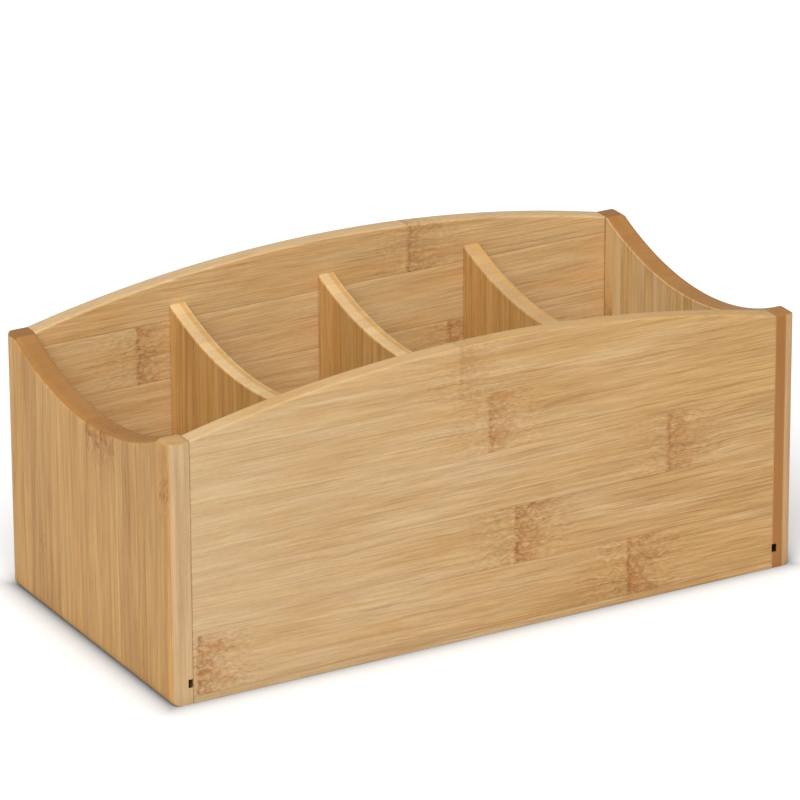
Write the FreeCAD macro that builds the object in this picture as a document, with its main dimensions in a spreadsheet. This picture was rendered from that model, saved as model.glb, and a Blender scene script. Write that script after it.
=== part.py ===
import FreeCAD, Part
import os
import Sketcher

# Desk organiser of bamboo boards: two arched walls between two scooped end panels,
# a floor board held in grooves, three scooped dividers, and hidden bamboo dowels in every joint.
# Frame: millimetres, +Z up, the long side along X and the front towards -Y. The origin is on the
# table, under the middle of the box.

SIZES = (
    ("length", 300.0, "outside, left to right"),
    ("depth", 148.0, "outside, front to rear"),
    ("corner_height", 116.0, "table to the top of the four corners"),
    ("arch_rise", 16.0, "rise of the front and back walls above the corners"),
    ("end_thickness", 10.0, "end panels"),
    ("wall_thickness", 8.0, "front and back walls"),
    ("divider_thickness", 8.0, "dividers"),
    ("floor_thickness", 3.6, "floor board and the grooves that hold it"),
    ("floor_height", 7.5, "table to the underside of the floor board"),
    ("end_groove", 2.0, "depth of the floor groove in an end panel"),
    ("wall_groove", 3.0, "depth of the floor groove in a wall"),
    ("end_flat", 9.5, "flat left at each corner of an end panel's top"),
    ("end_scoop", 14.5, "depth of the scoop in an end panel's top"),
    ("divider_scoop", 13.5, "depth of the scoop in a divider's top"),
    ("outer_round", 4.0, "rounding of an end panel's outside edges"),
    ("edge_round", 1.0, "rounding of the other top edges"),
    ("dowel_diameter", 4.0, "all dowels"),
    ("dowel_chamfer", 0.5, "lead-in at both ends of a dowel"),
    ("glue_gap", 0.5, "space left for glue at the bottom of a dowel hole"),
    ("corner_dowel", 18.0, "length of a corner dowel"),
    ("corner_dowel_in_end", 6.0, "part of a corner dowel that is in the end panel"),
    ("corner_dowel_low", 26.0, "table to the lowest corner dowel"),
    ("corner_dowel_step", 34.0, "from one corner dowel to the next one up"),
    ("divider_dowel", 15.0, "length of a divider dowel"),
    ("divider_dowel_in_wall", 4.5, "part of a divider dowel that is in the wall"),
    ("divider_dowel_low", 36.0, "table to the lower divider dowel"),
    ("divider_dowel_step", 50.0, "from the lower divider dowel to the upper one"),
)

CORNER_DOWEL_LEVELS = 3
DIVIDER_DOWEL_LEVELS = 2
DIVIDER_POSITIONS = (("left", -1), ("middle", 0), ("right", 1))

# Lengths that several pieces share, as expressions on the sheet.
INNER_LENGTH = "(sizes.length - 2 * sizes.end_thickness)"
INNER_DEPTH = "(sizes.depth - 2 * sizes.wall_thickness)"
FLOOR_TOP = "(sizes.floor_height + sizes.floor_thickness)"
COMPARTMENT = f"(({INNER_LENGTH} - 3 * sizes.divider_thickness) / 4)"
DIVIDER_PITCH = f"({COMPARTMENT} + sizes.divider_thickness)"
CORNER_DOWEL_Y = "(sizes.depth / 2 - sizes.wall_thickness / 2)"

# A sketch starts at this rough size, and its constraints then bring it to the sizes on the sheet.
ROUGH = 100.0

doc = FreeCAD.newDocument("desk_organiser")


def make_sheet():
    sheet = doc.addObject("Spreadsheet::Sheet", "sizes")
    for row, (name, value, note) in enumerate(SIZES, start=1):
        sheet.set(f"A{row}", name)
        sheet.set(f"B{row}", str(value))
        sheet.set(f"C{row}", note)
        sheet.setAlias(f"B{row}", name)
    doc.recompute()
    return sheet


def corner_dowel_level(index):
    return f"sizes.corner_dowel_low + {index} * sizes.corner_dowel_step"


def divider_dowel_level(index):
    return f"sizes.divider_dowel_low + {index} * sizes.divider_dowel_step"


def new_body(label):
    body = doc.addObject("PartDesign::Body", label)
    body.Label = label
    return body


def place(body, turn, x="0", y="0", z="0"):
    """Turn the body about the vertical and bind its place to the sheet."""
    body.Placement = FreeCAD.Placement(FreeCAD.Vector(), FreeCAD.Rotation(FreeCAD.Vector(0, 0, 1), turn))
    for axis, expression in (("x", x), ("y", y), ("z", z)):
        body.setExpression(f"Placement.Base.{axis}", expression)


def origin_plane(body, role):
    return next(item for item in body.Origin.OriginFeatures if item.Role == role)


def new_sketch(body, name, role, offset=None):
    sketch = body.newObject("Sketcher::SketchObject", name)
    sketch.AttachmentSupport = [(origin_plane(body, role), "")]
    sketch.MapMode = "FlatFace"
    if offset:
        sketch.setExpression("AttachmentOffset.Base.z", offset)
    return sketch


def drive(sketch, name, expression, *reference):
    """Add a named dimension to the sketch and bind it to the sheet."""
    index = sketch.addConstraint(Sketcher.Constraint(*reference, ROUGH))
    sketch.renameConstraint(index, name)
    sketch.setExpression(f"Constraints.{name}", expression)


def draw_board(sketch, width, height, crown, scooped, flat=None):
    """A board seen from its face: flat bottom, upright sides, and a top that is one arc.

    'crown' is the height of the arc's middle, above 'height' in an arched board and below it in a
    scooped one. 'flat' is the straight length left at each corner, beside the arc.
    """
    half = ROUGH / 2
    bulge = -ROUGH / 10 if scooped else ROUGH / 10
    side = [FreeCAD.Vector(half, 0, 0), FreeCAD.Vector(half, ROUGH, 0)]
    if flat:
        side.append(FreeCAD.Vector(half - ROUGH / 10, ROUGH, 0))
    mirrored = [FreeCAD.Vector(-point.x, point.y, 0) for point in reversed(side)]
    middle = FreeCAD.Vector(0, ROUGH + bulge, 0)

    bottom = sketch.addGeometry(Part.LineSegment(mirrored[-1], side[0]))
    right = [sketch.addGeometry(Part.LineSegment(a, b)) for a, b in zip(side, side[1:])]
    arc = sketch.addGeometry(Part.Arc(side[-1], middle, mirrored[0]))
    left = [sketch.addGeometry(Part.LineSegment(a, b)) for a, b in zip(mirrored, mirrored[1:])]
    crest = sketch.addGeometry(Part.Point(middle))

    # A sketch holds each arc anticlockwise, so a scoop starts at its left end and an arch at its right.
    arc_right, arc_left = (2, 1) if scooped else (1, 2)
    outline = [(bottom, 1, 2)] + [(line, 1, 2) for line in right] + [(arc, arc_right, arc_left)]
    outline += [(line, 1, 2) for line in left]
    for (one, _, end), (other, start, _) in zip(outline, outline[1:] + outline[:1]):
        sketch.addConstraint(Sketcher.Constraint("Coincident", one, end, other, start))
    sketch.addConstraint(Sketcher.Constraint("Horizontal", bottom))
    sketch.addConstraint(Sketcher.Constraint("Vertical", right[0]))
    sketch.addConstraint(Sketcher.Constraint("Vertical", left[-1]))
    sketch.addConstraint(Sketcher.Constraint("Symmetric", bottom, 1, bottom, 2, -1, 1))
    sketch.addConstraint(Sketcher.Constraint("Equal", right[0], left[-1]))
    sketch.addConstraint(Sketcher.Constraint("PointOnObject", crest, 1, arc))
    sketch.addConstraint(Sketcher.Constraint("PointOnObject", crest, 1, -2))
    if flat:
        sketch.addConstraint(Sketcher.Constraint("Horizontal", right[1]))
        sketch.addConstraint(Sketcher.Constraint("Horizontal", left[0]))
        sketch.addConstraint(Sketcher.Constraint("Equal", right[1], left[0]))
        drive(sketch, "flat", flat, "Distance", right[1])
    drive(sketch, "width", width, "Distance", bottom)
    drive(sketch, "height", height, "Distance", right[0])
    drive(sketch, "crown", crown, "DistanceY", -1, 1, crest, 1)


def draw_rectangle(sketch, left, right, low, high):
    """A rectangle whose four sides are distances from the sketch's origin."""
    corners = [FreeCAD.Vector(x, y, 0) for x, y in ((-1, 1), (1, 1), (1, 2), (-1, 2))]
    lines = [sketch.addGeometry(Part.LineSegment(corners[i - 1], corners[i])) for i in range(4)]
    for i in range(4):
        sketch.addConstraint(Sketcher.Constraint("Coincident", lines[i - 1], 2, lines[i], 1))
    for line in (lines[1], lines[3]):
        sketch.addConstraint(Sketcher.Constraint("Horizontal", line))
    for line in (lines[0], lines[2]):
        sketch.addConstraint(Sketcher.Constraint("Vertical", line))
    drive(sketch, "left", left, "DistanceX", -1, 1, lines[1], 1)
    drive(sketch, "right", right, "DistanceX", -1, 1, lines[1], 2)
    drive(sketch, "low", low, "DistanceY", -1, 1, lines[1], 1)
    drive(sketch, "high", high, "DistanceY", -1, 1, lines[3], 1)


def draw_holes(sketch, places):
    """One dowel hole for each (across, up) pair of expressions."""
    for index, (across, up) in enumerate(places):
        hole = sketch.addGeometry(Part.Circle(FreeCAD.Vector(index, index, 0), FreeCAD.Vector(0, 0, 1), 1))
        drive(sketch, f"across{index}", across, "DistanceX", -1, 1, hole, 3)
        drive(sketch, f"up{index}", up, "DistanceY", -1, 1, hole, 3)
        drive(sketch, f"bore{index}", "sizes.dowel_diameter", "Diameter", hole)


def pad(body, sketch, length, midplane=False, reverse=False):
    feature = body.newObject("PartDesign::Pad", "pad")
    feature.Profile = sketch
    feature.Midplane = midplane
    feature.Reversed = reverse
    feature.setExpression("Length", length)
    doc.recompute()
    return feature


def pocket(body, sketch, name, length=None, reverse=False):
    """Cut the sketch away: to a bound depth, or right through both ways where no length is given."""
    volume = body.Shape.Volume
    feature = body.newObject("PartDesign::Pocket", name)
    feature.Profile = sketch
    feature.Reversed = reverse
    if length:
        feature.setExpression("Length", length)
    else:
        feature.Midplane = True
        feature.Type = "ThroughAll"
    doc.recompute()
    if body.Shape.Volume >= volume:
        raise ValueError(f"{name} cuts nothing from {body.Label}")
    return feature


def mirror(body, feature, name, role):
    copy = body.newObject("PartDesign::Mirrored", name)
    copy.Originals = [feature]
    copy.MirrorPlane = (origin_plane(body, role), [""])
    body.Tip = copy
    doc.recompute()


def dress_edges(body, kind, name, size, expression, wanted):
    """Fillet or chamfer the edges of the body's newest feature for which wanted(edge) is true."""
    base = body.Tip
    edges = [f"Edge{i}" for i, edge in enumerate(base.Shape.Edges, start=1) if wanted(edge)]
    feature = body.newObject(kind, name)
    feature.Base = (base, edges)
    feature.setExpression(size, expression)
    doc.recompute()


def soften(body, name, radius, wanted):
    dress_edges(body, "PartDesign::Fillet", name, "Radius", radius, wanted)


def is_arc(edge):
    return isinstance(edge.Curve, Part.Circle)


def lies_at(edge, axis, value):
    """True where the whole edge is in the plane at 'value' on the axis (0 is x, 1 is y, 2 is z)."""
    return all(abs(vertex.Point[axis] - value) < 1e-6 for vertex in edge.Vertexes)


def make_wall(label, turn, side):
    """Front or back wall. Its inner face is the body's XZ plane; the two walls are the same piece."""
    body = new_body(label)
    outline = new_sketch(body, "outline", "XZ_Plane")
    draw_board(outline, INNER_LENGTH, "sizes.corner_height", "sizes.corner_height + sizes.arch_rise", False)
    pad(body, outline, "sizes.wall_thickness")
    soften(body, "soft_arch", "sizes.edge_round", is_arc)

    groove = new_sketch(body, "groove_section", "YZ_Plane")
    draw_rectangle(groove, "-sizes.wall_groove", "0", "sizes.floor_height", FLOOR_TOP)
    pocket(body, groove, "floor_groove")

    divider_holes = new_sketch(body, "divider_hole_circles", "XZ_Plane")
    draw_holes(divider_holes, [
        (f"{position} * {DIVIDER_PITCH}", divider_dowel_level(level))
        for _, position in DIVIDER_POSITIONS
        for level in range(DIVIDER_DOWEL_LEVELS)
    ])
    pocket(body, divider_holes, "divider_holes", "sizes.divider_dowel_in_wall + sizes.glue_gap", True)

    end_holes = new_sketch(body, "end_hole_circles", "YZ_Plane", f"{INNER_LENGTH} / 2")
    draw_holes(end_holes, [
        ("-sizes.wall_thickness / 2", corner_dowel_level(level)) for level in range(CORNER_DOWEL_LEVELS)
    ])
    depth = "sizes.corner_dowel - sizes.corner_dowel_in_end + sizes.glue_gap"
    mirror(body, pocket(body, end_holes, "end_holes", depth), "other_end_holes", "YZ_Plane")
    place(body, turn, y=f"{side} * {INNER_DEPTH} / 2")
    return body


def make_end(label, turn, side):
    """Left or right end panel. Its inner face is the body's YZ plane; the two are the same piece."""
    body = new_body(label)
    outline = new_sketch(body, "outline", "YZ_Plane")
    crown = "sizes.corner_height - sizes.end_scoop"
    draw_board(outline, "sizes.depth", "sizes.corner_height", crown, True, "sizes.end_flat")
    pad(body, outline, "sizes.end_thickness", reverse=True)
    outer_face = -sheet.end_thickness
    soften(body, "outer_rounding", "sizes.outer_round", lambda edge: lies_at(edge, 0, outer_face))
    soften(body, "soft_scoop", "sizes.edge_round", lambda edge: is_arc(edge) and lies_at(edge, 0, 0))
    reach = sheet.depth / 2
    soften(body, "soft_corners", "sizes.edge_round",
           lambda edge: lies_at(edge, 2, sheet.corner_height)
           and (lies_at(edge, 1, reach) or lies_at(edge, 1, -reach)))

    groove = new_sketch(body, "groove_section", "XZ_Plane")
    draw_rectangle(groove, "-sizes.end_groove", "0", "sizes.floor_height", FLOOR_TOP)
    pocket(body, groove, "floor_groove")

    holes = new_sketch(body, "dowel_hole_circles", "YZ_Plane")
    draw_holes(holes, [
        (f"{across} * {CORNER_DOWEL_Y}", corner_dowel_level(level))
        for across in (-1, 1)
        for level in range(CORNER_DOWEL_LEVELS)
    ])
    pocket(body, holes, "dowel_holes", "sizes.corner_dowel_in_end + sizes.glue_gap")
    place(body, turn, x=f"{side} * {INNER_LENGTH} / 2")
    return body


def make_divider(label, position):
    """A divider stands on the floor board between the walls, centred on its body's YZ plane."""
    body = new_body(label)
    outline = new_sketch(body, "outline", "YZ_Plane")
    height = f"sizes.corner_height - {FLOOR_TOP}"
    draw_board(outline, INNER_DEPTH, height, f"{height} - sizes.divider_scoop", True)
    pad(body, outline, "sizes.divider_thickness", midplane=True)
    soften(body, "soft_scoop", "sizes.edge_round", is_arc)

    holes = new_sketch(body, "dowel_hole_circles", "XZ_Plane", f"{INNER_DEPTH} / 2")
    draw_holes(holes, [
        ("0", f"{divider_dowel_level(level)} - {FLOOR_TOP}") for level in range(DIVIDER_DOWEL_LEVELS)
    ])
    depth = "sizes.divider_dowel - sizes.divider_dowel_in_wall + sizes.glue_gap"
    mirror(body, pocket(body, holes, "front_holes", depth), "rear_holes", "XZ_Plane")
    place(body, 0, x=f"{position} * {DIVIDER_PITCH}", z=FLOOR_TOP)
    return body


def make_floor():
    """The floor board reaches into the grooves of the walls and the end panels."""
    body = new_body("floor_panel")
    outline = new_sketch(body, "outline", "XY_Plane")
    reach_x = f"({INNER_LENGTH} / 2 + sizes.end_groove)"
    reach_y = f"({INNER_DEPTH} / 2 + sizes.wall_groove)"
    draw_rectangle(outline, f"-{reach_x}", reach_x, f"-{reach_y}", reach_y)
    pad(body, outline, "sizes.floor_thickness")
    place(body, 0, z="sizes.floor_height")
    return body


def make_dowel(label, role, length, x, y, z):
    """A dowel with a lead-in at both ends, lying across the given plane."""
    body = new_body(label)
    outline = new_sketch(body, "outline", role)
    draw_holes(outline, [("0", "0")])
    pad(body, outline, length, midplane=True)
    dress_edges(body, "PartDesign::Chamfer", "lead_in", "Size", "sizes.dowel_chamfer", is_arc)
    place(body, 0, x, y, z)
    return body


def make_corner_dowels():
    """Three dowels in each upright corner joint, from the end panel into the end of a wall."""
    dowels = []
    out = f"({INNER_LENGTH} / 2 + sizes.corner_dowel_in_end - sizes.corner_dowel / 2)"
    for face, front in (("front", -1), ("back", 1)):
        for end, side in (("left", -1), ("right", 1)):
            for level in range(CORNER_DOWEL_LEVELS):
                label = f"dowel_{face}_{end}_{level + 1}"
                x = f"{side} * {out}"
                y = f"{front} * {CORNER_DOWEL_Y}"
                z = corner_dowel_level(level)
                dowels.append(make_dowel(label, "YZ_Plane", "sizes.corner_dowel", x, y, z))
    return dowels


def make_divider_dowels():
    """Two dowels at each end of a divider, from the wall into the end of the divider."""
    dowels = []
    out = f"({INNER_DEPTH} / 2 + sizes.divider_dowel_in_wall - sizes.divider_dowel / 2)"
    for name, position in DIVIDER_POSITIONS:
        for face, front in (("front", -1), ("back", 1)):
            for level in range(DIVIDER_DOWEL_LEVELS):
                label = f"dowel_divider_{name}_{face}_{level + 1}"
                x = f"{position} * {DIVIDER_PITCH}"
                y = f"{front} * {out}"
                z = divider_dowel_level(level)
                dowels.append(make_dowel(label, "XZ_Plane", "sizes.divider_dowel", x, y, z))
    return dowels


def check(bodies):
    """Stop where a feature failed or a piece is missing or broken."""
    failed = [item.Name for item in doc.Objects if "Invalid" in item.State or "Error" in item.State]
    if failed:
        raise ValueError(f"failed objects: {failed}")
    for body in bodies:
        if body.Shape.isNull() or not body.Shape.isValid() or len(body.Shape.Solids) != 1:
            raise ValueError(f"{body.Label} is not one valid solid")


sheet = make_sheet()
pieces = [
    make_wall("front_panel", 0, -1),
    make_wall("back_panel", 180, 1),
    make_end("left_end_panel", 0, -1),
    make_end("right_end_panel", 180, 1),
    make_floor(),
]
pieces += [make_divider(f"divider_{name}", position) for name, position in DIVIDER_POSITIONS]
pieces += make_corner_dowels() + make_divider_dowels()
doc.recompute()
check(pieces)

os.makedirs("parts", exist_ok=True)
for piece in pieces:
    piece.Shape.exportStep(f"parts/{piece.Label}.step")
    box = piece.Shape.optimalBoundingBox(False)
    print(f"{piece.Label}: {box.XLength:.2f} x {box.YLength:.2f} x {box.ZLength:.2f} mm, "
          f"{piece.Shape.Volume:.1f} mm3")
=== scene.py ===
import math

import bmesh
import bpy
from mathutils import Matrix, Vector, noise


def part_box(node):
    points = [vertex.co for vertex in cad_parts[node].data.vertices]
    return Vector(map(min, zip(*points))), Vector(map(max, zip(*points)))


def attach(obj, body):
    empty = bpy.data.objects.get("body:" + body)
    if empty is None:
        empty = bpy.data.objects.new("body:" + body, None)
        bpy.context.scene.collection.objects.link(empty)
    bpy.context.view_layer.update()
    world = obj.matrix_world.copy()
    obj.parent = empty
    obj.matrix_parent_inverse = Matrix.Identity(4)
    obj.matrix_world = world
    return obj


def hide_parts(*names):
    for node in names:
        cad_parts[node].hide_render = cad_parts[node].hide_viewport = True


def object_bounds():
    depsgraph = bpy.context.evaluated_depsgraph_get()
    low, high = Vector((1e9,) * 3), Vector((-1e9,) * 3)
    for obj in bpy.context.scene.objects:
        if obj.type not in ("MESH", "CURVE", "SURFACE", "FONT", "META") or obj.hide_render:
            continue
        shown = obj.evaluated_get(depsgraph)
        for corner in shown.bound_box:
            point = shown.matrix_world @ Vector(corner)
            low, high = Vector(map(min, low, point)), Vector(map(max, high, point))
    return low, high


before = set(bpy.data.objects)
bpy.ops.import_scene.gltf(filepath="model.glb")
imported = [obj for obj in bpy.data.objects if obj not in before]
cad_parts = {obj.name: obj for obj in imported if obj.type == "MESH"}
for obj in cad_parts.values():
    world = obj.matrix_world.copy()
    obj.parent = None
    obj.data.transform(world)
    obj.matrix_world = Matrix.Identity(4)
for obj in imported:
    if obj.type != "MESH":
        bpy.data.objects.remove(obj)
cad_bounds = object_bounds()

# Lengths are in metres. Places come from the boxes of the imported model's nodes.
MM = 0.001
X, Y, Z = 0, 1, 2
LOW, HIGH = -1, 1

# Sizes that a box doesn't show, the same as the part's own.
END_FLAT = 9.5 * MM
END_SCOOP = 14.5 * MM
DIVIDER_SCOOP = 13.5 * MM
OUTER_ROUND = 4.0 * MM
EDGE_ROUND = 1.0 * MM
END_GROOVE = 2.0 * MM
WALL_GROOVE = 3.0 * MM

# An end panel's outside top edge is sharper than its other outside edges. The part has OUTER_ROUND
# there too.
OUTER_TOP_ROUND = 2.6 * MM

# The fine bevel where boards meet.
JOINT_BEVEL = 0.25 * MM

# The strips that a board is glued from, and the fine line between two of them.
WALL_STRIP = 26.4 * MM
WALL_STRIP_START = 3.1 * MM
END_STRIP = 6.6 * MM
GLUE_LINE_DEPTH = 0.05 * MM
GLUE_LINE_HALF = 0.3 * MM

# The slow waves of a sanded face. Waves and lines fade out over this distance from its edges.
WAVE_DEPTH = 0.08 * MM
WAVE_PITCH = 45.0 * MM
RELIEF_FADE = 2.0 * MM

# Where edges meet, their roundings add up as a norm of this order.
CORNER_BLEND = 4

# Grid of the boards' meshes. The rows in the top zone follow the top edge, the others run level.
GRID_STEP = 2.0 * MM
CLOSEST_STEP = 0.01 * MM
GROOVE_SLANT = 0.02 * MM
ROUND_STEPS = 6
FINE_ROUND_STEPS = 2
RIM_STEPS = 4
TOP_ZONE = 4.5 * MM
SHARP_ANGLE = 20.0


# ---------------------------------------------------------------- board shapes

def arc_level(across, half_width, rise):
    """Height above its ends of an arc whose middle is 'rise' above them (below them if negative)."""
    if rise == 0 or abs(across) >= half_width:
        return 0.0
    radius = (half_width ** 2 + rise ** 2) / (2 * abs(rise))
    sagitta = radius - math.sqrt(radius ** 2 - across ** 2)
    return rise - math.copysign(sagitta, rise)


def arc_slope_cosine(across, half_width, rise):
    """Cosine of the arc's slope, which turns a distance square to the edge into a height."""
    if rise == 0 or abs(across) >= half_width:
        return 1.0
    radius = (half_width ** 2 + rise ** 2) / (2 * abs(rise))
    return math.sqrt(1 - (across / radius) ** 2)


def round_steps(radius):
    """Distances from an edge that divide its rounding evenly."""
    steps = ROUND_STEPS if radius >= EDGE_ROUND else FINE_ROUND_STEPS
    return [radius * (1 - math.cos(math.pi / 2 * i / steps)) for i in range(steps + 1)]


def round_drop(distance, radius):
    """How far back a face lies at this distance from an edge rounded to this radius."""
    if distance >= radius:
        return 0.0
    return radius - math.sqrt(radius ** 2 - (radius - distance) ** 2)


def fill_steps(marks, step):
    """The marks in order, with even steps added where they are more than one step apart."""
    marks = sorted(marks)
    filled = [marks[0]]
    for low, high in zip(marks, marks[1:]):
        if high - low < CLOSEST_STEP:
            continue
        count = math.ceil((high - low) / step)
        filled += [low + (high - low) * i / count for i in range(1, count + 1)]
    return filled


class Board:
    """A board of the box as a closed grid of quads: two faces and the rim between them.

    'across', 'up' and 'through' are the row axes of its width, height and thickness, and 'grain' is
    the one along which its fibres run. The top edge rises by 'rise' in an arc, or falls if that is
    negative, between flats of width 'flat'. A face is LOW or HIGH, the side of the board it is on.
    """

    def __init__(self, node, across, up, through, grain, rise=0.0, flat=0.0):
        low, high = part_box(node)
        self.node = node
        self.axes = (across, up, through)
        self.grain_across = grain == across
        self.middle = (low[across] + high[across]) / 2
        self.half = (high[across] - low[across]) / 2
        self.bottom = low[up]
        self.height = high[up] - low[up] - max(rise, 0.0)
        self.centre = (low[through] + high[through]) / 2
        self.thickness = high[through] - low[through]
        self.rise = rise
        self.reach = self.half - flat

        # Roundings of each face's edges, and of the two top corners as seen from the front.
        self.top_round = {LOW: EDGE_ROUND, HIGH: EDGE_ROUND}
        self.side_round = {LOW: JOINT_BEVEL, HIGH: JOINT_BEVEL}
        self.bottom_round = {LOW: JOINT_BEVEL, HIGH: JOINT_BEVEL}
        self.corner_round = 0.0

        # The face on which the flats meet the ends of other boards, so they aren't rounded there.
        self.meeting_face = None

        # A groove in one face: (face, lowest height, highest height, depth).
        self.groove = None

        self.strip_width = WALL_STRIP
        self.strip_start = 0.0
        self.wave_seed = sum(ord(letter) for letter in node)

    def top(self, across):
        """Height of the top edge above the board's bottom."""
        level = self.height + arc_level(across, self.reach, self.rise)
        inside = self.half - abs(across)
        if inside < self.corner_round:
            level -= round_drop(inside, self.corner_round)
        return level

    def glue_lines(self):
        """The glue lines between the strips and their sides, as heights or as places across."""
        if self.grain_across:
            origin, low, high = self.bottom, 0.0, self.height + max(self.rise, 0.0)
        else:
            origin, low, high = self.middle, -self.half, self.half
        first = math.ceil((origin + low - self.strip_start) / self.strip_width)
        last = math.floor((origin + high - self.strip_start) / self.strip_width)
        lines = [self.strip_start + i * self.strip_width - origin for i in range(first, last + 1)]
        return [line + side * GLUE_LINE_HALF for line in lines for side in (-1, 0, 1)]

    def relief(self, across, height):
        """How far the face lies below flat: a fine line between two strips, and slow waves."""
        stacked = self.bottom + height if self.grain_across else self.middle + across
        strips = (stacked - self.strip_start) / self.strip_width
        from_line = abs(strips - round(strips)) * self.strip_width
        line = GLUE_LINE_DEPTH * max(0.0, 1 - from_line / GLUE_LINE_HALF)
        wave = noise.noise(Vector((across, height, self.wave_seed)) / WAVE_PITCH)
        return line + WAVE_DEPTH * (0.5 + 0.5 * wave)

    def face_drop(self, side, across, height, from_top):
        """How far this point of a face lies inside the board's full thickness."""
        if self.groove:
            grooved_side, low, high, depth = self.groove
            if side == grooved_side and low <= height <= high:
                return depth
        top_round = self.top_round[side]
        if side == self.meeting_face and abs(across) > self.reach:
            top_round = JOINT_BEVEL
        edges = [
            (from_top, top_round),
            (self.half - abs(across), self.side_round[side]),
            (height, self.bottom_round[side]),
        ]
        drop = sum(round_drop(distance, radius) ** CORNER_BLEND for distance, radius in edges)
        drop = drop ** (1 / CORNER_BLEND)
        inside = min((distance - radius) / RELIEF_FADE for distance, radius in edges)
        return drop + self.relief(across, height) * min(1.0, max(0.0, inside))

    def columns(self):
        """Places across the board of the grid's columns."""
        steps = round_steps(self.corner_round)
        for radius in self.side_round.values():
            steps += round_steps(radius)
        marks = [side * (self.half - step) for side in (LOW, HIGH) for step in steps]
        marks += [-self.reach, self.reach]
        if not self.grain_across:
            marks += self.glue_lines()
        return fill_steps([mark for mark in marks if abs(mark) <= self.half], GRID_STEP)

    def level_rows(self, ceiling):
        """Heights of the rows that run level, up to the ceiling."""
        marks = [step for radius in self.bottom_round.values() for step in round_steps(radius)]
        marks.append(ceiling)
        if self.grain_across:
            marks += [line for line in self.glue_lines() if 0.0 < line < ceiling]
        if self.groove:
            _, low, high, _ = self.groove
            marks += [low - GROOVE_SLANT, low, high, high + GROOVE_SLANT]
        return fill_steps(marks, GRID_STEP)

    def rows(self):
        """Each row as a function from a place across to (height, distance from the top edge)."""
        lowest = min(self.top(0.0), self.height)
        highest = max(self.top(0.0), self.height)
        ceiling = lowest - TOP_ZONE
        between = math.ceil((highest - ceiling) / GRID_STEP)
        rim = sorted({step for radius in self.top_round.values() for step in round_steps(radius)})
        widest = rim[-1]

        def level_row(height):
            return lambda across: (height, self.top(across) - height)

        def rising_row(part):
            def place(across):
                end = self.top(across) - widest / arc_slope_cosine(across, self.reach, self.rise)
                height = ceiling + (end - ceiling) * part
                return height, self.top(across) - height
            return place

        def rim_row(distance):
            def place(across):
                fall = distance / arc_slope_cosine(across, self.reach, self.rise)
                return self.top(across) - fall, distance
            return place

        rows = [level_row(height) for height in self.level_rows(ceiling)]
        rows += [rising_row(i / between) for i in range(1, between)]
        rows += [rim_row(distance) for distance in reversed(rim)]
        return rows

    def point(self, across, height, depth):
        """A point in the row frame, from places across, up and through the board."""
        place = [0.0, 0.0, 0.0]
        place[self.axes[0]] = self.middle + across
        place[self.axes[1]] = self.bottom + height
        place[self.axes[2]] = self.centre + depth
        return Vector(place)

    def face(self, shape, side, rows, columns):
        """The vertices of one face, row by row, with its quads between them."""
        grid = []
        for row in rows:
            line = []
            for across in columns:
                height, from_top = row(across)
                drop = self.face_drop(side, across, height, from_top)
                depth = side * (self.thickness / 2 - drop)
                line.append(shape.verts.new(self.point(across, height, depth)))
            grid.append(line)
        for lower, upper in zip(grid, grid[1:]):
            for i in range(len(columns) - 1):
                shape.faces.new((lower[i], lower[i + 1], upper[i + 1], upper[i]))
        return grid

    def mesh(self):
        """The board as one closed mesh."""
        rows = self.rows()
        columns = self.columns()
        shape = bmesh.new()
        low_face = self.face(shape, LOW, rows, columns)
        high_face = self.face(shape, HIGH, rows, columns)
        add_rim(shape, boundary(low_face), boundary(high_face))
        bmesh.ops.recalc_face_normals(shape, faces=shape.faces)
        mesh = bpy.data.meshes.new(f"{self.node}_board")
        shape.to_mesh(mesh)
        shape.free()
        mesh.shade_smooth()
        mesh.set_sharp_from_angle(angle=math.radians(SHARP_ANGLE))
        return mesh


def boundary(grid):
    """The vertices round the edge of a grid, in order."""
    loop = list(grid[0])
    loop += [line[-1] for line in grid[1:-1]]
    loop += list(reversed(grid[-1]))
    loop += [line[0] for line in reversed(grid[1:-1])]
    return loop


def add_rim(shape, low_loop, high_loop):
    """The quads that join the edges of a board's two faces."""
    ribs = []
    for low, high in zip(low_loop, high_loop):
        inner = [low.co.lerp(high.co, i / RIM_STEPS) for i in range(1, RIM_STEPS)]
        ribs.append([low] + [shape.verts.new(place) for place in inner] + [high])
    for rib, following in zip(ribs, ribs[1:] + ribs[:1]):
        for i in range(RIM_STEPS):
            shape.faces.new((rib[i], rib[i + 1], following[i + 1], following[i]))


# ---------------------------------------------------------------- shader helpers

INDEX_TOLERANCE = 0.4


def linear(red, green, blue):
    """An sRGB colour, 0 to 255, as the linear values that a shader takes."""
    values = []
    for value in (red, green, blue):
        part = value / 255
        values.append(part / 12.92 if part <= 0.04045 else ((part + 0.055) / 1.055) ** 2.4)
    return (*values, 1.0)


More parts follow.
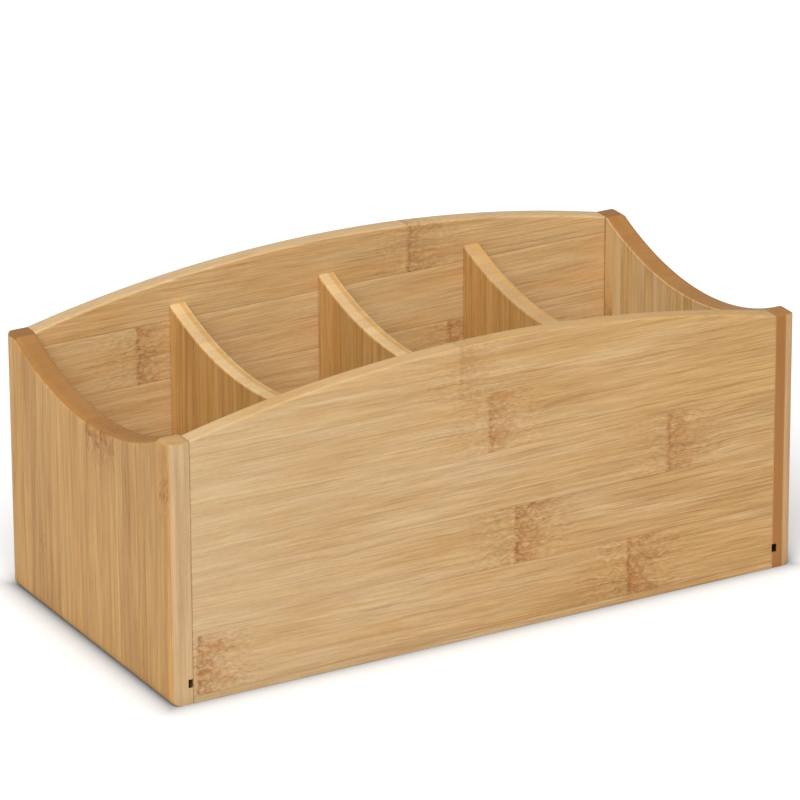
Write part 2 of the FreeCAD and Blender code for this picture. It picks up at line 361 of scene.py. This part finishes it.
class Field:
    """A number that varies over a surface. Sums and products of fields are shader nodes too."""

    def __init__(self, graph, socket):
        self.graph = graph
        self.socket = socket

    def __add__(self, other):
        return self.graph.math("ADD", self, other)

    def __radd__(self, other):
        return self.graph.math("ADD", other, self)

    def __sub__(self, other):
        return self.graph.math("SUBTRACT", self, other)

    def __rsub__(self, other):
        return self.graph.math("SUBTRACT", other, self)

    def __mul__(self, other):
        return self.graph.math("MULTIPLY", self, other)

    def __rmul__(self, other):
        return self.graph.math("MULTIPLY", other, self)

    def __truediv__(self, other):
        return self.graph.math("DIVIDE", self, other)

    def __abs__(self):
        return self.graph.math("ABSOLUTE", self)

    def is_index(self, index):
        """1 where this whole number is the index, 0 elsewhere."""
        return self.graph.math("COMPARE", self, float(index), INDEX_TOLERANCE)

    def fade(self, full, empty):
        """1 on the 'full' side, 0 on the 'empty' side, and smooth between the two values."""
        node = self.graph.nodes.new("ShaderNodeMapRange")
        node.interpolation_type = "SMOOTHSTEP"
        rises = empty < full
        node.inputs["From Min"].default_value = min(full, empty)
        node.inputs["From Max"].default_value = max(full, empty)
        node.inputs["To Min"].default_value = 0.0 if rises else 1.0
        node.inputs["To Max"].default_value = 1.0 if rises else 0.0
        self.graph.put(self, node.inputs["Value"])
        return Field(self.graph, node.outputs["Result"])


class Graph:
    """The shader nodes of one material."""

    def __init__(self, name):
        self.material = bpy.data.materials.new(name)
        self.material.use_nodes = True
        self.nodes = self.material.node_tree.nodes
        self.links = self.material.node_tree.links
        self.surface = self.nodes["Principled BSDF"]

    def put(self, value, socket):
        """Give a socket a field, or a number or colour that is the same everywhere."""
        if isinstance(value, Field):
            self.links.new(value.socket, socket)
        else:
            socket.default_value = value

    def math(self, operation, *values):
        """A field worked out from values, each of which is a field or a number."""
        node = self.nodes.new("ShaderNodeMath")
        node.operation = operation
        for value, socket in zip(values, node.inputs):
            self.put(value, socket)
        return Field(self, node.outputs[0])

    def larger(self, first, second):
        return self.math("MAXIMUM", first, second)

    def split(self, vector):
        """The X, Y and Z of a vector socket."""
        node = self.nodes.new("ShaderNodeSeparateXYZ")
        self.links.new(vector, node.inputs[0])
        return [Field(self, output) for output in node.outputs]

    def place(self):
        """The surface's place in the row frame, in millimetres."""
        node = self.nodes.new("ShaderNodeTexCoord")
        return [part / MM for part in self.split(node.outputs["Object"])]

    def normal(self):
        """The surface's direction in the row frame, from -1 to 1 along each axis."""
        return self.split(self.nodes.new("ShaderNodeNewGeometry").outputs["Normal"])

    def noise(self, along, across, through, length, width, detail=2.0, rough=0.5):
        """Noise around 0, from about -0.5 to 0.5, with features of this length and width."""
        combine = self.nodes.new("ShaderNodeCombineXYZ")
        for value, socket in zip((along / length, across / width, through / width), combine.inputs):
            self.put(value, socket)
        node = self.nodes.new("ShaderNodeTexNoise")
        self.links.new(combine.outputs[0], node.inputs["Vector"])
        node.inputs["Scale"].default_value = 1.0
        node.inputs["Detail"].default_value = detail
        node.inputs["Roughness"].default_value = rough
        return Field(self, node.outputs[0]) - 0.5

    def random(self, value):
        """A random number from -0.5 to 0.5 for each value."""
        node = self.nodes.new("ShaderNodeTexWhiteNoise")
        node.noise_dimensions = "1D"
        self.put(value, node.inputs["W"])
        return Field(self, node.outputs["Value"]) - 0.5

    def blend(self, factor, first, second):
        """The first colour where the factor is 0, the second where it is 1 or more.

        A Mix node has its colours at inputs 6 and 7, and the mixed colour at output 2.
        """
        node = self.nodes.new("ShaderNodeMix")
        node.data_type = "RGBA"
        self.put(factor, node.inputs[0])
        self.put(first, node.inputs[6])
        self.put(second, node.inputs[7])
        return Field(self, node.outputs[2])

    def bump(self, height, strength, distance):
        """Tilt the surface as if it had this height, where 1 is the distance in metres."""
        node = self.nodes.new("ShaderNodeBump")
        node.inputs["Strength"].default_value = strength
        node.inputs["Distance"].default_value = distance
        self.put(height, node.inputs["Height"])
        self.links.new(node.outputs[0], self.surface.inputs["Normal"])


# ---------------------------------------------------------------- bamboo

STRAW = linear(191, 165, 126)
TAN = linear(180, 143, 92)
# PALE_STRAW, PALE_TAN, PALE_GOLD and PALE_AMBER are painted light: lighter copies of the wood's
# colours for the back wall, the dividers and the inner faces, standing in for light inside the box.
PALE_STRAW = linear(211, 182, 136)
PALE_TAN = linear(203, 161, 106)
GOLD = linear(187, 147, 88)
AMBER = linear(173, 128, 66)
PALE_GOLD = linear(203, 160, 99)
PALE_AMBER = linear(190, 140, 74)
PALE_END = linear(198, 167, 122)
TAN_END = linear(181, 147, 103)
BROWN_END = linear(152, 108, 58)
DARK_END = linear(135, 95, 50)
RED_PLY = linear(147, 97, 46)
DEEP = linear(121, 81, 36)
RUST = linear(158, 101, 50)
KNUCKLE = linear(118, 74, 37)
GLUE = linear(92, 54, 26)
# The colour of the painted shade in the end panels' floor grooves.
GROOVE_SHADE_COLOUR = linear(48, 26, 12)

# The noises in the wood: length of their features along the fibres and width across them in
# millimetres, and for some their detail and roughness.
RAGGED = (50.0, 2.2)
PATCH = (9.0, 5.0, 1.0)
WANDER = (16.0, 7.0)
SWIRL = (5.0, 4.0, 1.0)
BROAD = (90.0, 4.0)
DRIFT = (60.0, 8.0)
STREAK = (55.0, 1.2, 3.0, 0.6)
FIBRE = (18.0, 0.6)
MOTTLE = (2.6, 1.1)
VEIN = (50.0, 1.1, 1.0)
WORM = (3.4, 2.6, 1.0)
SPOT = (7.0, 4.0, 1.0)
DOWEL_STREAK = (6.0, 0.6)

# Each strip and each board takes its noise from another place, this far along the fibres.
STRIP_SHIFT = 173.0
BOARD_SHIFT = 59.0

# Strips draw their random tone and hue at their own number, plus the board's seed, plus these.
TONE_DRAW = 0.25
HUE_DRAW = 50.25

# The random slant of a strip's fibres, and how many times further they stray round a knuckle.
STRIP_SLANT = 0.04
KNUCKLE_BEND = 4.0

# How much each of these warms the wood, where 1 is from its light colour to its warm one.
PLAIN_HUE = 0.5
DRIFT_HUE = 1.6
KNUCKLE_HUE = 0.1
EDGE_HUE = 0.3

# How much each of these darkens the wood, where 1 is all the way to DEEP.
PLAIN_DARK = 0.26
STREAK_DARK = 0.65
FIBRE_DARK = 0.75
VEIN_DARK = 0.13
MOTTLE_DARK = 0.2
SLOPE_DARK = 0.08
KNUCKLE_DARK = 0.07
KNUCKLE_MOTTLE = 0.9

# How much calmer the grain is where the fibres are cut across, and on the long edges.
END_CALM = 0.65
EDGE_CALM = 0.5

# How much of a long edge its own colour covers, and how much darker an inner face is: it is
# negative, so the inner faces are lighter, painted light that stands in for light inside the box.
EDGE_COVER = 0.85
PAINTED_INSIDE_LIGHT = -0.2

# Where these masks are full and where they are empty. The first five compare a part of the
# surface's direction, and the next three the level of a noise.
END_ALONG = (0.5, 0.3)
END_FACE = (0.75, 0.93)
EDGE_ACROSS = (0.55, 0.25)
EDGE_FACE = (0.5, 0.95)
FACING_IN = (0.7, 0.4)
VEIN_LEVEL = (0.16, 0.06)
WORM_LEVEL = (0.0, 0.11)
SPOT_LEVEL = (0.14, 0.0)

# The same for distances, in millimetres.
GLUE_LINE = (0.05, 0.35)
SEAM_LINE = (0.15, 0.6)
KNUCKLE_START = (0.8, -0.8)
KNUCKLE_LINE = (0.3, 1.8)

# Half the width of the soft edge of a flat and of a layer, and the edges of the painted shade in a
# groove, in millimetres.
FLAT_BLUR = 0.4
PLY_BLUR = 0.5
GROOVE_SHADE_FULL = 0.3
GROOVE_SHADE_EDGE = 0.1

# A knuckle's line, in millimetres from its start, and other places in it as parts of its length:
# how ragged and how patchy it is, where its body fades, and its middle and how far it is felt.
LINE_PLACE = 1.0
RAGGED_PART = 0.35
PATCH_PART = 2.2
BODY_FADE = (0.3, 1.6)
MIDDLE_PART = 0.4
AROUND_FADE = (0.6, 3.0)

# How strong the rust, the specks and the line of a knuckle are, plain and with their noise.
RUST_PLAIN = 0.2
RUST_SPOTS = 0.35
SPECKS = 0.5
LINE_PLAIN = 0.15
LINE_SPECKS = 0.35

# The gloss of the wood, and how much rougher streaks and knuckles are.
WOOD_SPECULAR = 0.25
WOOD_ROUGHNESS = 0.5
STREAK_ROUGH = 0.15
KNUCKLE_ROUGH = 0.08

# The fine relief: how high the fibres and streaks stand and how deep the others lie, as parts of
# the distance.
BUMP_STRENGTH = 0.5
BUMP_DISTANCE = 0.08 * MM
FIBRE_HEIGHT = 0.8
STREAK_HEIGHT = 0.5
SPECK_DEPTH = 0.7
GLUE_DEPTH = 0.8
VEIN_DEPTH = 0.3

# The dowels: hue and roughness, how much their streaks change both, and their relief.
DOWEL_HUE = 0.4
DOWEL_STREAK_HUE = 1.5
DOWEL_ROUGHNESS = 0.6
DOWEL_STREAK_ROUGH = 0.2
DOWEL_BUMP = 0.1 * MM


class Bamboo:
    """How the bamboo of one board looks. Lengths are in millimetres.

    The fibres run along 'grain' and the strips lie side by side along 'stack'. They are numbered
    from 0 at the glue line at 'strip_start', and below 0 on its other side. The faces go from the
    first of 'colours', the light one, to the second, the warm one, and 'end_colour' is where the
    fibres are cut across.
    """

    def __init__(self, board, name, grain, stack, through, seed, colours, end_colour):
        self.name = name
        self.axes = (grain, stack, through)
        self.seed = seed
        self.colours = colours
        self.end_colour = end_colour
        self.strip_width = board.strip_width / MM
        self.strip_start = board.strip_start / MM

        # Each knuckle: its strip, its place along the grain, and how strongly it shows.
        self.knuckles = []
        self.knuckle_length = 11.0

        # How much darker and warmer the whole board is, and how much warmer and livelier it gets
        # in each millimetre along the grain.
        self.tone = 0.0
        self.hue = 0.0
        self.drift_along = 0.0

        # How much the strips differ in tone and hue, how much paler each is than the one before,
        # which is painted shade that darkens the lower strips as if the light came from above, and
        # how strong the broad streaks and the glue lines are.
        self.strip_contrast = 0.06
        self.strip_hues = 0.35
        self.painted_shade_by_strip = 0.0
        self.broad_contrast = 0.4
        self.glue = 0.12

        # How much darker the long edges are, and the colour that mostly covers them.
        self.edge_tone = -0.12
        self.edge_colour = None

        # Painted light on the inner face, if it has other colours: lighter colours that stand in for
        # light inside the box, as (side, light colour, warm colour).
        self.inside = None

        # The flats beside a scooped top: (where they start, colour of the front and the back one).
        self.flat_ends = None

        # Layers in the thickness that show on the long edges, and where the fibres are cut across:
        # (lowest place, highest place, colour) of each.
        self.edge_plies = []
        self.end_plies = []

        # Dark lines where the board meets others: (place along the row, strength) of each.
        self.seams = []

        # A groove with painted shade on its floor and sides: (side, place of that face, depth,
        # lowest height, highest height).
        self.saw_cut = None


class BambooShader:
    """The material of one board.

    Each value that varies over the surface is a Field. 'along', 'across' and 'through' are places
    along the fibres, across the strips and through the board, in millimetres.
    """

    def __init__(self, look):
        self.look = look
        self.graph = Graph(look.name)
        self.place = self.graph.place()
        self.along, self.across, self.through = (self.place[axis] for axis in look.axes)
        stacked = (self.across - look.strip_start) / look.strip_width
        self.strip = self.graph.math("FLOOR", stacked)
        in_strip = self.graph.math("FRACT", stacked)
        from_glue = (0.5 - abs(in_strip - 0.5)) * look.strip_width
        self.glue_line = from_glue.fade(*GLUE_LINE)
        self.strip_tone = self.graph.random(self.strip + (look.seed + TONE_DRAW))
        self.strip_hue = self.graph.random(self.strip + (look.seed + HUE_DRAW))
        self.shifted = self.along + self.strip * STRIP_SHIFT + look.seed * BOARD_SHIFT
        self.slope = self.along * look.drift_along
        self.speck = abs(self.noise(WORM)).fade(*WORM_LEVEL)
        self.find_sides()
        self.find_knuckles()
        self.find_fibres()

    def noise(self, kind, across=None):
        """One of the noises above, from another place in each strip."""
        return self.graph.noise(self.shifted, across or self.across, self.through, *kind)

    def find_sides(self):
        """Where the surface cuts across the fibres, and where it is one of the long edges."""
        normal = self.graph.normal()
        along, across, self.facing = (normal[axis] for axis in self.look.axes)
        on_face = abs(self.facing)
        self.on_end = abs(along).fade(*END_ALONG) * on_face.fade(*END_FACE)
        self.on_edge = abs(across).fade(*EDGE_ACROSS) * on_face.fade(*EDGE_FACE)

    def find_knuckles(self):
        """Where the knuckles are: body, line at their start, and the disturbed grain round them."""
        size = self.look.knuckle_length
        body_fade = [part * size for part in BODY_FADE]
        around_fade = [part * size for part in AROUND_FADE]
        ragged = self.noise(RAGGED) * (RAGGED_PART * size)
        patch = self.noise(PATCH) * (PATCH_PART * size)
        self.body = self.line = self.near = 0.0
        for number, place, strength in self.look.knuckles:
            here = self.strip.is_index(number) * strength
            offset = self.along - place + ragged
            body = here * offset.fade(*KNUCKLE_START) * (offset + patch).fade(*body_fade)
            line = here * abs(offset - LINE_PLACE).fade(*KNUCKLE_LINE)
            near = here * abs(offset - MIDDLE_PART * size).fade(*around_fade)
            self.body = self.graph.larger(self.body, body)
            self.line = self.graph.larger(self.line, line)
            self.near = self.graph.larger(self.near, near)

    def find_fibres(self):
        """The fibres, from broad streaks to fine ones. They swirl round the knuckles."""
        bend = self.near * KNUCKLE_BEND
        slanted = self.across + self.along * self.strip_hue * STRIP_SLANT
        slanted = slanted + self.noise(WANDER) * (1.0 + bend) + self.noise(SWIRL) * bend
        self.broad = self.noise(BROAD, slanted)
        self.drift = self.noise(DRIFT, slanted)
        self.streak = self.noise(STREAK, slanted)
        self.fibre = self.noise(FIBRE, slanted)
        self.mottle = self.noise(MOTTLE, slanted)
        self.vein = self.noise(VEIN, slanted).fade(*VEIN_LEVEL)

    def hue(self):
        """0 for the light colour of the wood, 1 for the warm one."""
        look = self.look
        hue = look.hue + PLAIN_HUE + self.slope + self.strip_hue * look.strip_hues
        return hue + self.drift * DRIFT_HUE + self.near * KNUCKLE_HUE + self.on_edge * EDGE_HUE

    def dark(self):
        """0 for that colour as it is, 1 for DEEP."""
        look = self.look
        grain = self.broad * look.broad_contrast + self.streak * STREAK_DARK
        grain = grain + self.fibre * FIBRE_DARK + self.vein * VEIN_DARK
        grain = grain * (self.slope + 1.0) + self.mottle * (MOTTLE_DARK + self.near * KNUCKLE_MOTTLE)
        dark = grain * (1.0 - self.on_end * END_CALM - self.on_edge * EDGE_CALM)
        dark = dark + look.tone + PLAIN_DARK + self.slope * SLOPE_DARK
        dark = dark + self.strip_tone * look.strip_contrast + self.near * KNUCKLE_DARK
        # Painted shade: the lower strips are darker, as if the light came more from above.
        return dark + self.on_edge * look.edge_tone - self.strip * look.painted_shade_by_strip

    def wood(self):
        """The wood without its marks, on all sides of the board."""
        look, blend = self.look, self.graph.blend
        hue = self.hue()
        dark = self.dark()
        colour = blend(hue, *look.colours)
        # Painted light: the inner face gets lighter colours and less darkening, standing in for
        # light inside the box.
        if look.inside:
            side, light, warm = look.inside
            faces_in = (self.facing * float(side)).fade(*FACING_IN)
            colour = blend(faces_in, colour, blend(hue, light, warm))
            dark = dark + faces_in * PAINTED_INSIDE_LIGHT
        if look.edge_colour:
            colour = blend(self.on_edge * EDGE_COVER, colour, look.edge_colour)
        colour = blend(self.on_end, colour, look.end_colour)
        if look.flat_ends:
            reach, front, back = look.flat_ends
            before = self.across.fade(-reach - FLAT_BLUR, FLAT_BLUR - reach)
            behind = self.across.fade(reach + FLAT_BLUR, reach - FLAT_BLUR)
            colour = blend(self.on_end * before, colour, front)
            colour = blend(self.on_end * behind, colour, back)
        for plies, side in ((look.edge_plies, self.on_edge), (look.end_plies, self.on_end)):
            for low, high, ply_colour in plies:
                above = self.through.fade(low + PLY_BLUR, low - PLY_BLUR)
                below = self.through.fade(high - PLY_BLUR, high + PLY_BLUR)
                colour = blend(above * below * side, colour, ply_colour)
        return blend(dark, colour, DEEP)

    def with_knuckles(self, colour):
        """Rusty patches in the knuckles, and dark specks in them and along their first line."""
        blend = self.graph.blend
        spot = self.noise(SPOT).fade(*SPOT_LEVEL)
        colour = blend(self.body * (RUST_PLAIN + spot * RUST_SPOTS), colour, RUST)
        colour = blend(self.body * self.speck * SPECKS, colour, KNUCKLE)
        return blend(self.line * (LINE_PLAIN + self.speck * LINE_SPECKS), colour, KNUCKLE)

    def with_glue(self, colour):
        """The glue lines between strips, and the seams beside other boards."""
        colour = self.graph.blend(self.glue_line * self.look.glue, colour, GLUE)
        for seam, strength in self.look.seams:
            shade = abs(self.place[X] - seam).fade(*SEAM_LINE) * (strength + self.streak)
            colour = self.graph.blend(shade, colour, GLUE)
        return colour

    def with_groove_shade(self, colour):
        """Painted shade in the groove, dark on its floor and sides but not on the face round it."""
        if not self.look.saw_cut:
            return colour
        side, face, reach, bottom, top = self.look.saw_cut
        depth = (face - self.through) * float(side)
        level = self.place[Z]
        cut = depth.fade(GROOVE_SHADE_FULL, GROOVE_SHADE_EDGE)
        cut = cut * depth.fade(reach + GROOVE_SHADE_EDGE, reach + GROOVE_SHADE_FULL)
        cut = cut * level.fade(bottom, bottom - GROOVE_SHADE_EDGE) * level.fade(top, top + GROOVE_SHADE_EDGE)
        return self.graph.blend(cut, colour, GROOVE_SHADE_COLOUR)

    def material(self):
        """The finished material: its colour, gloss and fine relief."""
        inputs = self.graph.surface.inputs
        colour = self.with_groove_shade(self.with_glue(self.with_knuckles(self.wood())))
        self.graph.put(colour, inputs["Base Color"])
        inputs["Specular IOR Level"].default_value = WOOD_SPECULAR
        roughness = WOOD_ROUGHNESS + self.streak * STREAK_ROUGH + self.body * KNUCKLE_ROUGH
        self.graph.put(roughness, inputs["Roughness"])
        height = self.fibre * FIBRE_HEIGHT + self.streak * STREAK_HEIGHT
        height = height - self.body * self.speck * SPECK_DEPTH
        height = height - self.glue_line * GLUE_DEPTH - self.vein * VEIN_DEPTH
        self.graph.bump(height, BUMP_STRENGTH, BUMP_DISTANCE)
        return self.graph.material


def dowel_material():
    """Plain wood with fine streaks. The dowels are hidden in the joints."""
    graph = Graph("bamboo_dowel")
    streak = graph.noise(*graph.place(), *DOWEL_STREAK)
    colour = graph.blend(DOWEL_HUE + streak * DOWEL_STREAK_HUE, STRAW, TAN)
    graph.put(colour, graph.surface.inputs["Base Color"])
    graph.put(DOWEL_ROUGHNESS + streak * DOWEL_STREAK_ROUGH, graph.surface.inputs["Roughness"])
    graph.bump(streak, BUMP_STRENGTH, DOWEL_BUMP)
    return graph.material


# ---------------------------------------------------------------- the eight boards

# Knuckles: the strip, the place along the grain in millimetres, and how strongly each shows. In a
# wall the strips are numbered from the bottom, in an end panel from the middle of its depth.
FRONT_KNUCKLES = [
    (0, -138.0, 0.9), (0, 67.0, 1.0), (1, 12.5, 1.0),
    (2, 86.5, 0.7), (3, -0.5, 0.7), (4, -14.0, 0.4),
]
BACK_KNUCKLES = [
    (0, -52.0, 0.8), (1, 28.0, 0.8), (1, -118.0, 0.6),
    (2, 60.0, 0.7), (3, -92.0, 0.7), (4, 40.0, 0.6),
]
LEFT_KNUCKLES = [
    (-11, 91.0, 0.8), (-4, 94.0, 0.7), (-3, 97.0, 1.0),
    (-2, 93.0, 1.0), (-1, 96.0, 0.8), (6, 30.0, 0.3),
]
RIGHT_KNUCKLES = [
    (-8, 60.0, 0.7), (-1, 84.0, 0.6), (0, 80.0, 0.5), (5, 25.0, 0.7), (9, 70.0, 0.6),
]
UPRIGHT_KNUCKLE_LENGTH = 7.0

# Each divider: its node, the seed of its grain, the colour of its top edge, and its knuckles.
DIVIDERS = [
    ("divider_left", 41, PALE_END, [(2, 70.0, 0.6)]),
    ("divider_middle", 47, PALE_END, [(1, 70.0, 0.6)]),
    # The right divider's darker top edge, TAN_END, is painted shade.
    ("divider_right", 53, TAN_END, [(0, 70.0, 0.6)]),
]

# The layer of GOLD in a divider's top edge, from the middle of its thickness, in millimetres.
DIVIDER_PLY = (0.6, 2.8)

# How dark the seams are between a wall and the two end panels.
LEFT_SEAM = 0.32
RIGHT_SEAM = 0.1


def floor_groove(side, depth):
    """The groove for the floor on this side of a board that stands on the row's base."""
    low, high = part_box("floor_panel")
    return side, low.z, high.z, depth


def wall(node, name, seed, inside, knuckles, colours):
    """A front or back wall: grain along the row, arched top, floor groove on its inside."""
    low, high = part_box(node)
    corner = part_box("left_end_panel")[1].z
    board = Board(node, X, Z, Y, X, rise=high.z - corner)
    board.groove = floor_groove(inside, WALL_GROOVE)
    board.strip_start = WALL_STRIP_START
    look = Bamboo(board, name, X, Z, Y, seed, colours, BROWN_END)
    look.knuckles = knuckles
    look.seams = [(low.x / MM, LEFT_SEAM), (high.x / MM, RIGHT_SEAM)]
    return board, look


def front_wall():
    """The front wall, which gets warmer and livelier from left to right."""
    board, look = wall(
        "front_panel", "front", seed=3, inside=HIGH, knuckles=FRONT_KNUCKLES,
        colours=(STRAW, TAN),
    )
    look.drift_along = 0.003
    look.hue = 0.06
    look.tone = 0.045
    # Painted shade: each strip a little paler than the one below it.
    look.painted_shade_by_strip = 0.02
    return board, look


def back_wall():
    """The back wall, paler than the front one in painted light that stands in for the light on its
    inner face, with a straw-coloured top edge.
    """
    board, look = wall(
        "back_panel", "back", seed=11, inside=LOW, knuckles=BACK_KNUCKLES,
        colours=(PALE_STRAW, PALE_TAN),
    )
    look.tone = -0.08
    look.hue = 0.15
    look.strip_hues = 0.2
    look.edge_colour = STRAW
    look.edge_tone = 0.05
    return board, look


def end_panel(node, name, seed, inside, knuckles, edge_colour, front_flat):
    """An end panel: grain upright, scooped top, well rounded outside."""
    board = Board(node, Y, Z, X, Z, rise=-END_SCOOP, flat=END_FLAT)
    board.top_round[-inside] = OUTER_TOP_ROUND
    board.side_round[-inside] = OUTER_ROUND
    board.bottom_round[-inside] = OUTER_ROUND
    board.corner_round = EDGE_ROUND
    board.meeting_face = inside
    board.groove = floor_groove(inside, END_GROOVE)
    board.strip_width = END_STRIP
    look = Bamboo(board, name, Z, Y, X, seed, (GOLD, AMBER), BROWN_END)
    look.knuckles = knuckles
    look.knuckle_length = UPRIGHT_KNUCKLE_LENGTH
    look.edge_colour = edge_colour
    look.edge_tone = 0.0
    look.strip_contrast = 0.18
    look.broad_contrast = 1.1
    look.flat_ends = (board.reach / MM, front_flat, DARK_END)
    # Painted light: lighter colours on the inner face.
    look.inside = (inside, PALE_STRAW, PALE_GOLD)
    # The floor groove's floor and sides get painted shade.
    face = board.centre + inside * board.thickness / 2
    _, bottom, top, depth = board.groove
    look.saw_cut = (inside, face / MM, depth / MM, bottom / MM, top / MM)
    return board, look


def left_end():
    """The left end panel, with pale front and back edges."""
    return end_panel(
        "left_end_panel", "left_end", seed=23, inside=HIGH, knuckles=LEFT_KNUCKLES,
        edge_colour=STRAW, front_flat=TAN,
    )


def right_end():
    """The right end panel. The inner half of its front edge is a red-brown layer."""
    board, look = end_panel(
        "right_end_panel", "right_end", seed=31, inside=LOW, knuckles=RIGHT_KNUCKLES,
        edge_colour=TAN_END, front_flat=BROWN_END,
    )
    inner_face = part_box(board.node)[0].x
    look.edge_plies = [(inner_face / MM, board.centre / MM, RED_PLY)]
    return board, look


def divider(node, seed, end_colour, knuckles):
    """A divider: grain upright, scooped top."""
    board = Board(node, Y, Z, X, Z, rise=-DIVIDER_SCOOP)
    board.strip_width = END_STRIP
    # The paler colours and the lower tone below are painted light, standing in for light inside the
    # box.
    look = Bamboo(board, node, Z, Y, X, seed, (PALE_GOLD, PALE_AMBER), end_colour)
    look.knuckles = knuckles
    look.knuckle_length = UPRIGHT_KNUCKLE_LENGTH
    look.tone = -0.08
    look.strip_contrast = 0.18
    look.broad_contrast = 0.8
    low, high = (board.centre / MM + place for place in DIVIDER_PLY)
    look.end_plies = [(low, high, GOLD)]
    return board, look


def floor_board():
    """The floor: one board with its grain along the row."""
    board = Board("floor_panel", X, Y, Z, X)
    for side in (LOW, HIGH):
        board.top_round[side] = JOINT_BEVEL
    look = Bamboo(board, "floor", X, Y, Z, seed=61, colours=(STRAW, TAN), end_colour=BROWN_END)
    return board, look


def show(board, look, slot):
    """Stand the finished board in for its CAD node."""
    piece = bpy.data.objects.new(look.name + "_board", board.mesh())
    bpy.context.scene.collection.objects.link(piece)
    piece.data.materials.append(BambooShader(look).material())
    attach(piece, "root")
    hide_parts(board.node)


def build_boards():
    """All eight boards."""
    show(*front_wall(), "bamboo_wall")
    show(*back_wall(), "bamboo_wall")
    show(*left_end(), "bamboo_end")
    show(*right_end(), "bamboo_end")
    for values in DIVIDERS:
        show(*divider(*values), "bamboo_end")
    show(*floor_board(), "bamboo_wall")


def finish_dowels():
    """The dowels keep their CAD shape, and get the wood of a dowel."""
    material = dowel_material()
    for name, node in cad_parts.items():
        if name.startswith("dowel_"):
            node.data.materials.clear()
            node.data.materials.append(material)


# ---------------------------------------------------------------- stage, light and camera

FLOOR_SIZE = 12.0
FLOOR_SQUARES = 8
FLOOR_WHITE = 0.8
FLOOR_ROUGHNESS = 0.9
FLOOR_SPECULAR = 0.1

# The painted shade in the floor's colour round the foot of the box: its depth, and its reach in
# millimetres.
PAINTED_CONTACT_SHADE = 0.55
CONTACT_REACH = 6.0

AMBIENT = 0.48
KEY_STRENGTH = 4.0
KEY_TOWARDS = Vector((0.52, 0.70, -1.02))
KEY_ANGLE = 60.0

# The camera: distances in metres, angles in degrees, lens and sensor in millimetres.
CAMERA_AIM = Vector((0.0017, 0.0047, 0.0782))
CAMERA_AZIMUTH = -29.27
CAMERA_ELEVATION = 21.89
CAMERA_ROLL = -0.286
CAMERA_DISTANCE = 2.7551
CAMERA_LENS = 291.83
CAMERA_SENSOR = 36.0
CAMERA_NEAR = 0.1
CAMERA_FAR = 100.0


def build_stage():
    """A plain pale floor, with a narrow soft shade painted into its colour where the box stands on
    it.
    """
    shape = bmesh.new()
    bmesh.ops.create_grid(
        shape, x_segments=FLOOR_SQUARES, y_segments=FLOOR_SQUARES, size=FLOOR_SIZE / 2,
    )
    mesh = bpy.data.meshes.new("floor")
    shape.to_mesh(mesh)
    shape.free()
    floor = bpy.data.objects.new("stage_floor", mesh)
    bpy.context.scene.collection.objects.link(floor)
    graph = Graph("stage_floor")
    across, deep, _ = graph.place()
    beside = graph.larger(abs(across) - cad_bounds[1][X] / MM, 0.0)
    before = graph.larger(abs(deep) - cad_bounds[1][Y] / MM, 0.0)
    from_box = graph.math("SQRT", beside * beside + before * before)
    # Painted shadow: the floor's colour darkens towards the box's footprint.
    shade = graph.math("EXPONENT", from_box / -CONTACT_REACH) * PAINTED_CONTACT_SHADE
    white = (FLOOR_WHITE, FLOOR_WHITE, FLOOR_WHITE, 1.0)
    black = (0.0, 0.0, 0.0, 1.0)
    graph.put(graph.blend(shade, white, black), graph.surface.inputs["Base Color"])
    graph.surface.inputs["Roughness"].default_value = FLOOR_ROUGHNESS
    graph.surface.inputs["Specular IOR Level"].default_value = FLOOR_SPECULAR
    floor.data.materials.append(graph.material)


def build_light():
    """A bright even room, and one large soft light from above, in front and a little to the left."""
    world = bpy.data.worlds.new("studio")
    world.use_nodes = True
    backdrop = world.node_tree.nodes["Background"]
    backdrop.inputs["Color"].default_value = (1.0, 1.0, 1.0, 1.0)
    backdrop.inputs["Strength"].default_value = AMBIENT
    bpy.context.scene.world = world

    lamp = bpy.data.lights.new("key", "SUN")
    lamp.energy = KEY_STRENGTH
    lamp.angle = math.radians(KEY_ANGLE)
    key = bpy.data.objects.new("key", lamp)
    key.rotation_euler = KEY_TOWARDS.to_track_quat("-Z", "Y").to_euler()
    bpy.context.scene.collection.objects.link(key)


def build_camera():
    """The camera looks at the aim from its azimuth and elevation. At azimuth 0 it looks along +Y."""
    azimuth = math.radians(CAMERA_AZIMUTH)
    elevation = math.radians(CAMERA_ELEVATION)
    away = Vector((
        math.sin(azimuth) * math.cos(elevation),
        -math.cos(azimuth) * math.cos(elevation),
        math.sin(elevation),
    ))
    data = bpy.data.cameras.new("camera")
    data.lens = CAMERA_LENS
    data.sensor_width = CAMERA_SENSOR
    data.clip_start = CAMERA_NEAR
    data.clip_end = CAMERA_FAR
    camera = bpy.data.objects.new("camera", data)
    place = Matrix.Translation(CAMERA_AIM + away * CAMERA_DISTANCE)
    upright = away.to_track_quat("Z", "Y").to_matrix()
    roll = Matrix.Rotation(math.radians(CAMERA_ROLL), 3, "Z")
    camera.matrix_world = place @ (upright @ roll).to_4x4()
    bpy.context.scene.collection.objects.link(camera)
    bpy.context.scene.camera = camera


build_boards()
finish_dowels()
build_stage()
build_light()
build_camera()
bpy.context.scene.view_settings.view_transform = "Standard"
